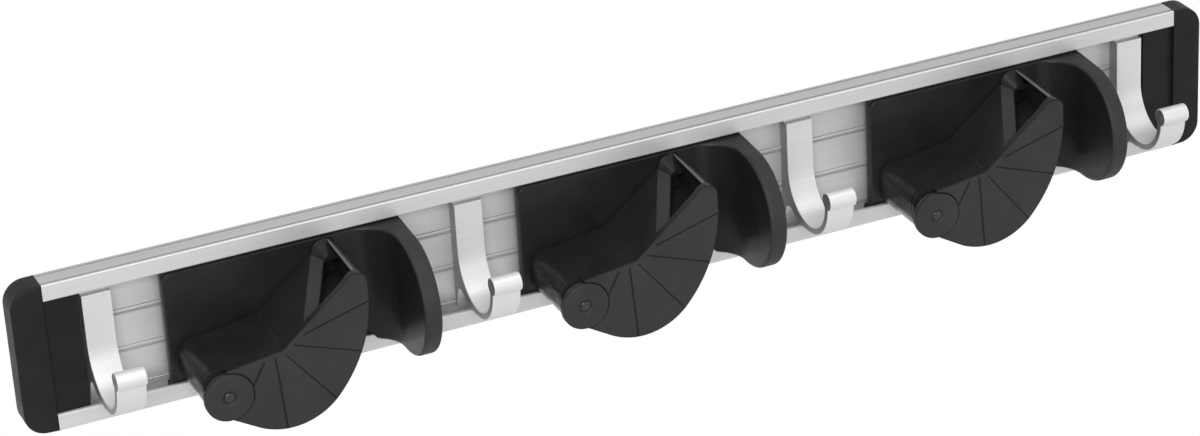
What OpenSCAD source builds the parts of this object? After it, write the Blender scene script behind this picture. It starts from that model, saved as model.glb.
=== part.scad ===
// Wall rack for mops and brooms: an aluminium channel with two end caps, three sliding
// holders with a falling cam each, and four sliding hooks. X runs along the rail to the
// right, Y runs into the wall and Z up. The origin is the centre of the rail's back face.

/* [Rail] */
// Length of the aluminium channel
rail_len = 475; // [465:5:600]
// Height of the channel
rail_h = 60; // [58:0.5:64]
// Depth of the channel, from the wall to the front of its lips
rail_d = 10.4; // [10:0.1:11]
// Height of each front lip
lip_h = 6.6; // [6:0.1:7]
// Thickness of the front lips
lip_t = 1.6; // [1.2:0.1:1.8]
// Thickness of the top and bottom flanges
flange_t = 1.6; // [1.2:0.1:2]
// Thickness of the back web
web_t = 1.8; // [1.4:0.1:2]

/* [Rail ribs and grooves] */
// Distance between the double ribs on the web
rib_pitch = 15.5; // [14.8:0.1:15.8]
// Distance between the two lines of a double rib
rib_gap = 1.2; // [1:0.1:1.6]
// Width of one rib line
rib_w = 0.6; // [0.4:0.1:0.8]
// Height of the rib lines
rib_h = 0.4; // [0.2:0.05:0.45]
// Width of the grooves in the top and bottom faces
groove_w = 0.8; // [0.5:0.1:1.2]
// Depth of the grooves in the top and bottom faces
groove_t = 0.3; // [0.2:0.05:0.5]

/* [Wall screws] */
// Diameter of the screw holes in the web
screw_d = 5.2; // [4.5:0.1:6]
// Distance of each screw hole from its rail end
screw_in = 6.5; // [6:0.1:7]

/* [End caps] */
// Length of the cap beyond the rail's end
cap_len = 12.5; // [10:0.5:16]
// Radius of the cap's outer corners
cap_r = 8.5; // [5:0.5:9.5]
// Length of the tongue inside the channel
tongue_len = 13.2; // [12.8:0.1:13.4]
// Thickness of the tongue behind the lips
tongue_t = 3; // [2:0.1:3.4]
// Height of the two legs that seat the tongue on the web
leg_h = 3.2; // [2:0.1:3.4]

/* [Holder bases] */
// Width of a holder
base_w = 94; // [92:0.5:97]
// Height of the pad that shows between the lips
pad_h = 43.8; // [43:0.1:44.4]
// Front of the pad, measured from the wall
pad_front = 9.6; // [9.3:0.1:9.9]
// Radius of the pad's left corners
pad_r = 3.5; // [1:0.5:5]
// Thickness of the flange that runs behind the lips
flange_plate_t = 2.8; // [2.2:0.1:3.2]
// Height of the two runners on the back of the flange
runner_h = 3.4; // [2.5:0.1:3.6]

/* [Cradles] */
// Thickness of the cradle's wall
cradle_t = 7; // [5:0.5:8]
// Radius of the hollow that the handle lies in
hollow_r = 13; // [9:0.5:14]
// Radius of the wall's round front
front_r = 23.8; // [20:0.2:24]
// How far the wall's front reaches from the wall behind
cradle_out = 48.8; // [46:0.2:50]
// Height of the cradle's top edge above the middle of the rail
cradle_top = 22.2; // [21.5:0.1:22.6]

/* [Cams] */
// Distance of the pivot from the holder's left edge
pivot_x = 11.3; // [11:0.1:12]
// Height of the pivot below the middle of the rail
pivot_drop = 16; // [15.6:0.1:16.4]
// Back of the cam, measured from the wall
cam_back = 11.2; // [10.9:0.1:11.6]
// Depth of the cam
cam_depth = 31.4; // [28:0.2:33]
// Distance from the pivot along to the valley between the arms
valley_x = 22.2; // [21:0.1:24]
// Height of the valley above the pivot
valley_z = 13.8; // [13:0.1:15]
// Distance of the fan's centre from the valley, along the rail
fan_x = 1; // [0.5:0.1:1.6]
// Distance of the fan's centre below the valley
fan_drop = 6.8; // [6.2:0.1:7.4]
// Radius of the fan's lower left arc
fan_r = 25.9; // [24.6:0.1:27]
// Diameter of the peg on the base that the cam comes to rest on
stop_d = 5; // [4:0.1:5.4]
// Distance of the peg from the pivot along the rail
stop_run = 18.7; // [17.5:0.1:19.5]
// Radius of the face that meets the handle
face_r = 56; // [51:1:61]
// Slope of the right arm in degrees
right_slope = 39; // [36:0.5:41]
// Slope of the left arm in degrees
left_slope = 7.5; // [5:0.5:10]
// Length of the right arm from the valley to the tip
arm_len = 36.6; // [35.5:0.1:37.5]
// Radius of the tip's corner above the face
tip_r = 4.4; // [3.6:0.1:5]
// Height of the tip's corner above the end of the right arm
tip_rise = 0.6; // [0.2:0.1:1]
// Radius of the round ear that stands up behind the tip
ear_r = 5.3; // [4.9:0.1:5.7]
// How far the ear's front lies behind the pocket's back wall
ear_in = 0.2; // [0.1:0.1:0.4]
// Radius of the hub round the pivot
hub_r = 8.3; // [7.5:0.1:8.6]
// Thickness of the front plate
plate_t = 3; // [2.4:0.1:3.4]
// Thickness of the arms' top walls
roof_t = 3.6; // [3.2:0.1:4]
// Thickness of the fan's curved wall
shell_t = 1.8; // [1.4:0.1:2.4]
// Thickness of the ribs inside
inner_rib_t = 1.4; // [1:0.1:1.8]
// Distance of the ribs inside from the back of the cam
inner_rib_in = 4; // [3.6:0.1:5]
// Radius of the upper left corner
shoulder_r = 6; // [4:0.5:7]
// How far the upper left corner reaches beyond the hub
shoulder_out = 0.4; // [0:0.1:0.6]
// Width of the grooves in the front plate
ray_w = 0.8; // [0.5:0.1:1.2]
// Depth of the grooves in the front plate
ray_t = 0.4; // [0.2:0.05:0.6]
// Distance of the grooves' upper ends below the arms' tops
ray_in = 1.9; // [1:0.1:3]
// Distance at which the leftmost groove's line passes the valley
ray_pass = 5.2; // [4.5:0.1:6]
// Where the pocket's sloping side starts along the right arm, at the front plate
pocket_start = 12; // [10:0.5:14]
// Where the sloping side ends along the right arm, at the back
pocket_end = 30.6; // [29:0.2:32]
// Width of the sloping side
pocket_slope_w = 4.5; // [3.5:0.1:5]
// Depth of the sloping side at its lower edge
pocket_slope_t = 3; // [2:0.1:3.1]
// Share of the sloping side after which the pocket turns towards the tip, in percent
pocket_bend = 84; // [78:1:88]
// How far the pocket narrows where it turns
pocket_turn = 2.4; // [1.8:0.2:3]
// Thickness of the rim round the tip
rim_t = 0.9; // [0.7:0.1:1.2]

/* [Pivots] */
// Diameter of the steel axle
axle_d = 6; // [5:0.2:7]
// Diameter of the disc on the front of the pivot
disc_d = 18.8; // [17.4:0.2:19]
// Thickness of the disc
disc_t = 2.6; // [2:0.1:3]
// Thickness of the washer behind the disc
washer_t = 0.8; // [0.5:0.1:1]
// How far the washer's edge lies inside the disc's
washer_in = 0.3; // [0.1:0.1:1]
// Diameter of the dimple in the disc
dimple_d = 5.6; // [3:0.2:7]
// Depth of the dimple in the disc
dimple_t = 0.8; // [0.4:0.1:1.2]
// Diameter of the boss that carries the axle
boss_d = 12.6; // [11:0.2:12.8]

/* [Hooks] */
// Width of a hook
hook_w = 11.3; // [9:0.1:12]
// Thickness of the back plate
hook_back_t = 3.6; // [2.4:0.1:4.6]
// Front of the hook's upper part, measured from the wall
hook_front = 8.3; // [8:0.1:8.6]
// Height of the hook's upper part above the middle of the rail
hook_top = 20.8; // [19:0.2:22]
// Depth of the hollow's lowest point below the middle of the rail
hook_drop = 15.8; // [14:0.2:17]
// Thickness of the hook's round end
hook_t = 2.7; // [2.2:0.1:3.4]
// Inner radius of the hook's back half
hook_back_r = 16.8; // [15:0.2:17.4]
// Inner radius of the hook's front half
hook_front_r = 14.3; // [13:0.2:15]
// Radius of the bulb at the tip
bulb_r = 3.6; // [3:0.1:4]
// How far the bulb's centre lies outside the inner radius of the front half
bulb_out = 1.8; // [1.4:0.1:2.2]
// Height of the bulb's centre above the centre of the front half
bulb_rise = 2.6; // [1.6:0.1:3.4]
// Radius of the hook's underside
under_r = 20; // [18:0.2:24]
// Distance of the underside's lowest point behind the middle of the hollow
under_back = 3.6; // [2:0.2:5]
// Width of the slope that closes the wedge between the underside and the back plate
wedge_end = 1; // [0.6:0.1:1.4]

/* [Places along the rail] */
// Share of the channel's free length that lies to the left of the first hook, in percent
hook_1_place = 1.2; // [0:0.1:10]
// Share of the free length to the left of the first holder
holder_1_place = 16.7; // [11:0.1:30]
// Share of the free length to the left of the second hook
hook_2_place = 35.3; // [31:0.1:42]
// Share of the free length to the left of the second holder
holder_2_place = 47; // [43:0.1:55]
// Share of the free length to the left of the third hook
hook_3_place = 63.8; // [56:0.1:74]
// Share of the free length to the left of the third holder
holder_3_place = 84; // [75:0.1:94]
// Share of the free length to the left of the fourth hook
hook_4_place = 99.5; // [95:0.1:100]

/* [Clearances] */
// Sliding clearance round the feet in the channel
slide_gap = 0.2; // [0.1:0.05:0.3]
// Radial clearance of the cam on its axle
axle_gap = 0.05; // [0.02:0.01:0.1]
// Clearance beside the turning cam
side_gap = 0.2; // [0.1:0.05:0.3]
// Clearance round the disc in its recess
recess_gap = 0.4; // [0.3:0.1:0.6]
// Clearance on each side of the washer
washer_gap = 0.1; // [0.05:0.05:0.2]
// Clearance between the resting cam and its stop peg
stop_gap = 0.1; // [0.05:0.05:0.3]
// Clearance between the front of the stop peg and the ribs that pass over it
stop_rib_gap = 0.8; // [0.5:0.1:1]

/* [Hidden] */
$fn = 72;

// The pieces stand in the order hook, holder, hook, holder, hook, holder, hook between the
// two tongues, and share what is left of the channel's length
free_left = tongue_len - rail_len / 2;
free_len = rail_len - 2 * tongue_len - 3 * base_w - 4 * hook_w;
holder_places = [holder_1_place, holder_2_place, holder_3_place];
hook_places = [hook_1_place, hook_2_place, hook_3_place, hook_4_place];
holder_x = [for (k = [0:2]) free_left + (k + 1) * hook_w + k * base_w + free_len * holder_places[k] / 100];
hook_x = [for (k = [0:3]) free_left + k * (hook_w + base_w) + free_len * hook_places[k] / 100];

// Half heights of the channel behind the lips and of the slot between them
channel_z = rail_h / 2 - flange_t;
slot_z = rail_h / 2 - lip_h;
lip_back = rail_d - lip_t;
// Furthest forward that a foot behind the lips may reach, and nearest to the ribs
foot_front = lip_back - slide_gap;
foot_back = web_t + rib_h + slide_gap;
foot_z = channel_z - slide_gap;

pivot_z = -pivot_drop;
pivot = [pivot_x, pivot_z];
valley = pivot + [valley_x, valley_z];
cam_front = cam_back + cam_depth;
plate_back = cam_front - plate_t;
recess_r = disc_d / 2 + recess_gap;
// Steps in degrees of large and of small arcs
arc_step = 6;
small_step = 12;
// The grooves fan out round the valley: each one's direction, and the share of ray_pass at
// which its line passes the valley on the left. The first one ends in the disc's recess.
rays = [[-120, -1], [-86, -0.67], [-52, -0.15], [-20, 0.44], [15.4, 0.35]];
// Directions in the front view: where the fan's arc ends and the face's arc starts, where
// the tip's corner leaves the arm, and the ends of the pocket's rim
fan_end = -121;
face_start = -42;
tip_start = 120;
rim_start = -10;
rim_end = 86;
rim_away = 96;
// Centres of the fan's arc and of the face's arc, which leaves the fan's without a corner
fan_c = valley + [fan_x, -fan_drop];
face_c = fan_c + (fan_r - face_r) * [cos(face_start), sin(face_start)];
face_x = face_c[0] + face_r;
tip = valley + arm_len * [cos(right_slope), sin(right_slope)];
tip_c = [face_x - tip_r, tip[1] + tip_rise - tip_r];
ear_c = [face_x - ear_r, tip_c[1]];
roof_drop = roof_t / cos(right_slope);
// The stop peg stands under the left arm's roof and ends behind the cam's inner ribs
stop_z = valley_z - roof_drop - (valley_x - stop_run) * tan(left_slope) - stop_d / 2 - stop_gap;
rib_back = cam_back + inner_rib_in;
stop_front = rib_back - stop_rib_gap;
// Where the washer and the disc lie, and where the axle ends inside the disc
washer_back = plate_back + washer_gap;
disc_back = washer_back + washer_t + washer_gap;
disc_front = disc_back + disc_t;
axle_end = disc_back + disc_t / 2;

front_c = [cradle_out - front_r, cradle_top - front_r];
cradle_bottom = front_c[1] - front_r;

back_c = [hook_front + hook_back_r, hook_back_r - hook_drop];
front_hook_c = [back_c[0], hook_front_r - hook_drop];
bulb_c = front_hook_c + [hook_front_r + bulb_out, bulb_rise];
bulb_run = norm(bulb_c - front_hook_c);
under_c = [back_c[0] - under_back, sqrt(under_r * under_r - under_back * under_back) - hook_drop - hook_t];
// How far a cut reaches beyond the faces that it opens
cut = 1;

function arc(c, r, a0, a1, step = arc_step) =
    let (n = ceil(abs(a1 - a0) / step))
    [for (i = [0:n]) c + r * [cos(a0 + (a1 - a0) * i / n), sin(a0 + (a1 - a0) * i / n)]];

// Direction from the bulb's centre to where the bulb meets a circle of radius r
// about the centre of the hook's front half, on the lower side
function bulb_meet(r) =
    let (
        across = bulb_c - front_hook_c,
        half = acos((bulb_r * bulb_r + bulb_run * bulb_run - r * r) / (2 * bulb_r * bulb_run))
    )
    180 + atan2(across[1], across[0]) + half;

// Extrudes a front view, drawn as X and Z, from depth d0 to depth d1 in front of the wall
module outward(d0, d1) {
    translate([0, -d0, 0]) rotate([90, 0, 0]) linear_extrude(d1 - d0) children();
}

// Extrudes a side view, drawn as depth and Z, along X from x0 to x1
module along(x0, x1) {
    translate([x0, 0, 0]) mirror([0, 1, 0]) rotate([90, 0, 90]) linear_extrude(x1 - x0) children();
}

module pivot_cylinder(r, d0, d1) {
    translate([pivot_x, -d0, pivot_z]) rotate([90, 0, 0]) cylinder(r = r, h = d1 - d0);
}

module rail_section() {
    difference() {
        translate([0, -rail_h / 2]) square([rail_d, rail_h]);
        translate([web_t, -channel_z]) square([lip_back - web_t, 2 * channel_z]);
        translate([lip_back - cut, -slot_z]) square([lip_t + 2 * cut, 2 * slot_z]);
        for (side = [-1, 1], d = [web_t, rail_d - lip_t])
            translate([d - groove_w / 2, side * rail_h / 2 - groove_t]) square([groove_w, 2 * groove_t]);
    }
    for (k = [-1.5:1:1.5], line = [-0.5, 0.5])
        translate([web_t - rib_h, k * rib_pitch + line * rib_gap - rib_w / 2]) square([2 * rib_h, rib_w]);
}

module rail() {
    color("silver") difference() {
        along(-rail_len / 2, rail_len / 2) rail_section();
        for (side = [-1, 1])
            translate([side * (rail_len / 2 - screw_in), cut, 0]) rotate([90, 0, 0])
                cylinder(d = screw_d, h = web_t + rib_h + 2 * cut);
    }
}

// A cap drawn for the right end; the left one is its mirror image
module end_cap() {
    tongue_back = foot_front - tongue_t;
    color("#1c1c1d") translate([rail_len / 2, 0, 0]) {
        outward(0, rail_d) intersection() {
            translate([0, -rail_h / 2]) square([cap_len, rail_h]);
            union() {
                translate([0, -rail_h / 2]) square([cap_len - cap_r, rail_h]);
                translate([0, cap_r - rail_h / 2]) square([cap_len, rail_h - 2 * cap_r]);
                for (side = [-1, 1])
                    translate([cap_len - cap_r, side * (rail_h / 2 - cap_r)]) circle(cap_r);
            }
        }
        outward(tongue_back, foot_front)
            translate([-tongue_len, -foot_z]) square([tongue_len + cut, 2 * foot_z]);
        outward(web_t, tongue_back + cut) for (side = [-1, 1])
            translate([-tongue_len, side * (foot_z - leg_h / 2) - leg_h / 2])
                square([tongue_len + cut, leg_h]);
    }
}

module pad_outline() {
    translate([pad_r, -pad_h / 2]) square([base_w - pad_r, pad_h]);
    translate([0, pad_r - pad_h / 2]) square([pad_r, pad_h - 2 * pad_r]);
    for (side = [-1, 1]) translate([pad_r, side * (pad_h / 2 - pad_r)]) circle(pad_r);
}

// The wall on the right: an upright hollow in plan, cut to a round front in side view
module cradle() {
    inner_x = base_w - cradle_t;
    intersection() {
        translate([0, 0, cradle_bottom]) linear_extrude(2 * front_r) mirror([0, 1]) difference() {
            translate([inner_x - hollow_r, foot_front]) square([hollow_r + cradle_t, cradle_out]);
            translate([inner_x - hollow_r, pad_front + hollow_r]) circle(hollow_r);
            translate([inner_x - hollow_r - cut, pad_front + hollow_r])
                square([hollow_r + cut, cradle_out]);
        }
        along(0, base_w + cut) {
            translate([foot_front, -pad_h / 2]) square([front_c[0] - foot_front, pad_h / 2 + cradle_top]);
            translate([rail_d + slide_gap, cradle_bottom])
                square([front_c[0] - rail_d - slide_gap, 2 * front_r]);
            translate(front_c) circle(front_r);
        }
    }
}

module holder_base() {
    flange_back = foot_front - flange_plate_t;
    color("#1c1c1d") difference() {
        union() {
            outward(flange_back, foot_front) translate([0, -foot_z]) square([base_w, 2 * foot_z]);
            outward(foot_front - cut, pad_front) pad_outline();
            outward(foot_back, flange_back + cut) for (side = [-1, 1])
                translate([0, side * (foot_z - runner_h / 2) - runner_h / 2]) square([base_w, runner_h]);
            pivot_cylinder(boss_d / 2, foot_back, cam_back - side_gap);
            translate([stop_run, 0, stop_z]) pivot_cylinder(stop_d / 2, foot_front, stop_front);
            cradle();
        }
        pivot_cylinder(axle_d / 2, 0, cam_back);
    }
}

module holder_axle() {
    color("gainsboro") pivot_cylinder(axle_d / 2, foot_back, axle_end);
}

// Front view of the cam. The fan's wall is moved in by wall and the arms' tops down by roof.
// Past the end of its arc the fan's edge runs straight on to the hub.
function cam_outline(wall, roof) =
    let (
        top_v = valley - [0, roof / cos(right_slope)],
        fan_last = fan_c + (fan_r - wall) * [cos(fan_end), sin(fan_end)],
        onward = [sin(fan_end), -cos(fan_end)]
    )
    concat(
        [top_v],
        wall > 0 ? [[face_x - wall, top_v[1] + (face_x - wall - top_v[0]) * tan(right_slope)]]
                 : concat([tip], arc(tip_c, tip_r, tip_start, 0, small_step)),
        arc(face_c, face_r - wall, 0, face_start),
        arc(fan_c, fan_r - wall, face_start - arc_step, fan_end),
        [fan_last + (pivot - fan_last) * onward * onward, pivot],
        [top_v - valley_x * [1, tan(left_slope)]]
    );

// Rounded upper left end of the cam, over the hub
module cam_shoulder() {
    top_z = valley[1] - valley_x * tan(left_slope);
    left = pivot_x - hub_r - shoulder_out;
    translate([left + shoulder_r, top_z - shoulder_r]) circle(shoulder_r);
    translate([left + shoulder_r, pivot_z]) square([hub_r, top_z - pivot_z]);
    translate([left, pivot_z]) square([hub_r, top_z - shoulder_r - pivot_z]);
}

// Region of the front view that lies at least inset below one of the arms' tops
module below_arms(inset) {
    reach = 2 * face_x;
    translate(valley) for (slope = [left_slope, right_slope]) rotate(slope)
        translate([-reach, -reach - inset]) square([2 * reach, reach]);
}

// Lines of the grooves in the front view
module ray_lines(line_w) {
    translate(valley) for (ray = rays) rotate(ray[0])
        translate([0, ray[1] * ray_pass - line_w / 2])
            square([ray == rays[0] ? valley_x : 2 * fan_r, line_w]);
}

// Side of the pocket that slopes down from the arm's top, drawn in the arm's own frame
module pocket_slope(front, rear) {
    run = rear - front;
    depth = pocket_slope_t;
    wide = 3 * pocket_slope_w;
    translate([rear[0], rear[1], 0]) rotate([90, 0, atan2(run[1], run[0]) - 90])
        translate([0, 0, -cam_depth]) linear_extrude(3 * cam_depth)
            polygon([[0, 0], [pocket_slope_w, -depth], [wide, -depth], [wide, cut], [0, cut]]);
}

// Cuts the pocket in the right arm's top. It opens into the hollow, between the front plate
// and the sloping side, and leaves a thin rim round the tip and a thin wall at the back, which
// the ear tops. X is along the arm, Z square to it.
module pocket() {
    front = [pocket_start, -plate_back];
    rear = [pocket_end, -cam_back];
    shift = pocket_slope_w * norm(rear - front) / (rear[1] - front[1]);
    lower = (rear - front) * pocket_bend / 100;
    reach = arm_len + 2 * tip_r;
    intersection() {
        translate([0, 0, -2 * roof_t]) linear_extrude(4 * roof_t) polygon([
            front + [shift, 0],
            front + lower + [shift, 0],
            front + lower + [shift + pocket_turn, cut],
            [arm_len + rim_t, -cam_back - rim_t],
            [reach, -cam_back - rim_t],
            [reach, -plate_back]
        ]);
        rotate([0, right_slope, 0]) translate([-valley[0], 0, -valley[1]]) outward(0, cam_front)
            polygon(concat(
                arc(tip_c, tip_r - rim_t, rim_start, rim_end, small_step),
                [tip_c + 3 * tip_r * [cos(rim_away), sin(rim_away)]],
                [valley + [0, arm_len], valley - [0, 2 * roof_t]]
            ));
    }
    intersection() {
        pocket_slope(front, rear);
        translate([0, -plate_back, -roof_t])
            cube([arm_len + tip_r, plate_back - cam_back - rim_t, 2 * roof_t]);
    }
}

module holder_cam() {
    color("#232324") difference() {
        union() {
            outward(cam_back, cam_front) polygon(cam_outline(0, 0));
            outward(cam_back, cam_back + rim_t - ear_in) polygon(concat(
                arc(ear_c, ear_r, 0, 180),
                [[face_x - 2 * ear_r, face_c[1]], [face_x, face_c[1]]]
            ));
            pivot_cylinder(hub_r, cam_back, plate_back);
            outward(cam_back, plate_back) cam_shoulder();
        }
        // The hollow behind the front plate, crossed by ribs that stand behind the grooves
        difference() {
            outward(cam_back - cut, plate_back) difference() {
                polygon(cam_outline(shell_t, roof_t));
                translate(pivot) circle(hub_r);
            }
            outward(rib_back, cam_front) ray_lines(inner_rib_t);
        }
        // Recess for the disc and its washer
        pivot_cylinder(recess_r, plate_back, cam_front + cut);
        pivot_cylinder(axle_d / 2 + axle_gap, cam_back - cut, cam_front);
        outward(cam_front - ray_t, cam_front + cut) intersection() {
            below_arms(ray_in);
            ray_lines(ray_w);
        }
        // Pocket in the right arm's top, with one sloping side
        translate([valley[0], 0, valley[1]]) rotate([0, -right_slope, 0]) pocket();
    }
}

module holder_washer() {
    color("gray") difference() {
        pivot_cylinder(disc_d / 2 - washer_in, washer_back, washer_back + washer_t);
        pivot_cylinder(axle_d / 2 + washer_gap, washer_back - cut, washer_back + washer_t + cut);
    }
}

module holder_disc() {
    color("#232324") difference() {
        pivot_cylinder(disc_d / 2, disc_back, disc_front);
        pivot_cylinder(axle_d / 2, disc_back - cut, axle_end);
        translate([pivot_x, -disc_front, pivot_z]) rotate([-90, 0, 0])
            cylinder(d1 = dimple_d, d2 = dimple_d / 2, h = dimple_t);
    }
}

// Side view of a hook: depth from the wall and height. The underside meets the back plate at
// the apex of the small gap that stays open between the two.
module hook_section() {
    back_front = foot_back + hook_back_t;
    apex_x = hook_front + wedge_end;
    apex_angle = 270 - asin((under_c[0] - apex_x) / under_r);
    apex = under_c + under_r * [cos(apex_angle), sin(apex_angle)];
    polygon(concat(
        [[foot_back, -foot_z], [foot_back, foot_z], [back_front, foot_z], [back_front, hook_top]],
        [[hook_front, hook_top]],
        arc(back_c, hook_back_r, 180, 270),
        arc(front_hook_c, hook_front_r, 270 + arc_step, 360 - arc_step),
        arc(bulb_c, bulb_r, bulb_meet(hook_front_r), bulb_meet(hook_front_r + hook_t) - 360, small_step),
        arc(front_hook_c, hook_front_r + hook_t, 360 - arc_step, 270),
        arc(under_c, under_r, 270 + asin(under_back / under_r) - arc_step, apex_angle),
        [[back_front, apex[1] - wedge_end], [back_front, -foot_z]]
    ));
}

module hook() {
    color("silver") along(0, hook_w) hook_section();
}

rail();
end_cap();  // end_cap_right
mirror([1, 0, 0]) end_cap();  // end_cap_left
for (k = [0:2]) translate([holder_x[k], 0, 0]) {
    holder_base();
    holder_axle();
    holder_cam();
    holder_washer();
    holder_disc();
}
for (k = [0:3])
    translate([hook_x[k], 0, 0]) hook();
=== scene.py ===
import bpy
import numpy as np
from mathutils import Matrix, Vector


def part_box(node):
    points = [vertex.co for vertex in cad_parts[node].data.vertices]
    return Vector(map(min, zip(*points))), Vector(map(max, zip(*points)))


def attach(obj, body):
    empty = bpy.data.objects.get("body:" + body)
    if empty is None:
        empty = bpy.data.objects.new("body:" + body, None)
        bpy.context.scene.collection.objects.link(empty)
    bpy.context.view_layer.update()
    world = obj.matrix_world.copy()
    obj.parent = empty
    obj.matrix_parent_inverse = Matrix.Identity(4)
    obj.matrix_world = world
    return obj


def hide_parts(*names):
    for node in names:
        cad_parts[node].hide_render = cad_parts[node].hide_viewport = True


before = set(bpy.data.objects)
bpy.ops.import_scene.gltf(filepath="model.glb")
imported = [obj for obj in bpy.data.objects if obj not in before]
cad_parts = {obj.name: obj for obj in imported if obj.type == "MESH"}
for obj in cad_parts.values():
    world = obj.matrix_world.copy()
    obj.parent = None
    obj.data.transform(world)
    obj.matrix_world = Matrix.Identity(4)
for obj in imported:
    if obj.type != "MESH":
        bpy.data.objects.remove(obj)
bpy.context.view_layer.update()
mm = 0.001


# Everything below is worked out in millimetres: x along the rail, depth out of the wall
# (so y = -depth) and z up. Holder and cam shapes start at the holder's left edge.

def boxOf(node):
    return np.array(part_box(node)) / mm


railBox = boxOf("rail")
railEnd = railBox[1, 0]
railHalf = railBox[1, 2]
railDepth = -railBox[0, 1]
holderNames = ["holder_1", "holder_2", "holder_3"]
holderLeft = {name: boxOf(name + "_base")[0, 0] for name in holderNames}
hookNames = ["hook_1", "hook_2", "hook_3", "hook_4"]
hookLeft = {name: boxOf(name)[0, 0] for name in hookNames}


# Plane shapes

def unit(vectors):
    return vectors / np.linalg.norm(vectors, axis=-1, keepdims=True)


def polar(angle, radius=1.0):
    # radius (cos a, sin a), a in degrees
    a = np.radians(angle)
    return radius * np.stack([np.cos(a), np.sin(a)], -1)


def arcPoints(centre, radius, start, end, steps=12):
    # centre + radius (cos a, sin a) for a from start to end
    return np.asarray(centre) + polar(np.linspace(start, end, steps + 1), radius)


def roundCorners(corners, radii, steps=5):
    # Each corner becomes the arc that touches both its sides: its centre lies r / sin(h) along
    # the bisector, h being half the angle at the corner, and the arc turns through 180 - 2h.
    corners = np.asarray(corners, float)
    radii = np.broadcast_to(np.asarray(radii, float), len(corners))[:, None]
    toLast = unit(np.roll(corners, 1, 0) - corners)
    toNext = unit(np.roll(corners, -1, 0) - corners)
    half = np.arccos(np.clip(np.sum(toLast * toNext, 1, keepdims=True), -1, 1)) / 2
    centres = corners + unit(toLast + toNext + 1e-12) * radii / np.sin(half)
    first = corners + toLast * radii / np.tan(half) - centres
    last = corners + toNext * radii / np.tan(half) - centres
    turn = np.maximum(np.pi - 2 * half, 1e-6)[:, :, None]
    t = np.linspace(0, 1, steps + 1)[None, :, None]
    spread = (first[:, None] * np.sin((1 - t) * turn) + last[:, None] * np.sin(t * turn)) / np.sin(turn)
    return cleanLoop((centres[:, None] + spread).reshape(-1, 2))


def cleanLoop(loop, least=1e-3):
    # drops points that repeat the one before, and turns the loop counterclockwise
    loop = loop[np.linalg.norm(loop - np.roll(loop, 1, 0), axis=1) > least]
    nextOne = np.roll(loop, -1, 0)
    area = np.sum(loop[:, 0] * nextOne[:, 1] - loop[:, 1] * nextOne[:, 0])
    return loop if area > 0 else loop[::-1]


def shrink(loop, amount):
    # Moves each side of a counterclockwise loop inwards; a corner moves by the mitre
    # (n1 + n2) / (1 + n1.n2) of its sides' normals.
    side = unit(np.roll(loop, -1, 0) - loop)
    normal = np.stack([side[:, 1], -side[:, 0]], 1)
    before = np.roll(normal, 1, 0)
    mitre = (normal + before) / (1 + np.sum(normal * before, 1, keepdims=True))
    return loop - mitre * np.asarray(amount)


# A solid is (points, faces, finish numbers)

def mergePoints(points, faces):
    # one point where several lie on each other, and no face that uses a point twice
    first, same = np.unique(np.round(points, 5), axis=0, return_index=True, return_inverse=True)[1:]
    same = same.reshape(-1)
    merged, kept = [], []
    for number, face in enumerate(faces):
        corner = same[list(face)]
        corner = corner[corner != np.roll(corner, 1)].tolist()
        if len(set(corner)) == len(corner) > 2:
            merged.append(corner)
            kept.append(number)
    return points[first], merged, kept


def stackRings(rings, closed=False, finish=0, endFinish=None):
    # Quads between each ring of points and the next. The first and last ring are covered with one
    # flat face each, or joined to each other. Faces turn outwards by the sign of the volume,
    # the sum of a.(b x c) over the triangles. A list of finishes gives each row of quads its own.
    rings = np.asarray(rings, float)
    rows, columns = rings.shape[:2]
    number = np.arange(rows * columns).reshape(rows, columns)
    low, high = (number, np.roll(number, -1, 0)) if closed else (number[:-1], number[1:])
    quads = np.stack([low, np.roll(low, -1, 1), np.roll(high, -1, 1), high], -1).reshape(-1, 4)
    ends = [] if closed else [number[0, ::-1], number[-1]]
    points = rings.reshape(-1, 3)
    fans = [np.stack([np.full(columns - 2, e[0]), e[1:-1], e[2:]], -1) for e in ends]
    triangles = points[np.concatenate([quads[:, :3], quads[:, [0, 2, 3]], *fans])]
    volume = np.sum(triangles[:, 0] * np.cross(triangles[:, 1], triangles[:, 2]))
    faces = quads.tolist() + [e.tolist() for e in ends]
    rowFinish = np.broadcast_to(finish, len(low))
    endFinishes = [rowFinish[0], rowFinish[-1]] if endFinish is None else [endFinish] * 2
    finishes = np.repeat(rowFinish, columns).tolist() + endFinishes[:len(ends)]
    if volume < 0:
        faces = [face[::-1] for face in faces]
    points, merged, kept = mergePoints(points, faces)
    return points, merged, [finishes[number] for number in kept]


def facing(loop, depth):
    # a loop drawn in the front view, (x, z), set at a depth
    return np.stack([loop[:, 0], np.full(len(loop), -float(depth)), loop[:, 1]], 1)


def sideways(loop, x):
    # a loop drawn in the side view, (depth, z), set at x
    return np.stack([np.full(len(loop), float(x)), -loop[:, 0], loop[:, 1]], 1)


def edgePath(start, end, startRound=0.0, endRound=0.0, steps=4):
    # (inset, place) pairs of a prism whose two rims are quarter rounds:
    # inset = r (1 - cos a), place = end - r + r sin a
    a = np.radians(np.linspace(0, 90, steps + 1))
    way = np.sign(end - start)
    path = []
    for at, radius, sign in ((start, startRound, -way), (end, endRound, way)):
        inset = radius * (1 - np.cos(a)) if radius else np.zeros(1)
        place = at - sign * radius * (1 - np.sin(a)) if radius else np.full(1, float(at))
        pairs = list(zip(inset, place))
        path += pairs[::-1] if at == start else pairs
    return path


def prism(loop, path, place=facing, weight=1.0, finish=0, endFinish=None):
    return stackRings([place(shrink(loop, inset * weight), at) for inset, at in path],
                      finish=finish, endFinish=endFinish)


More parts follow.
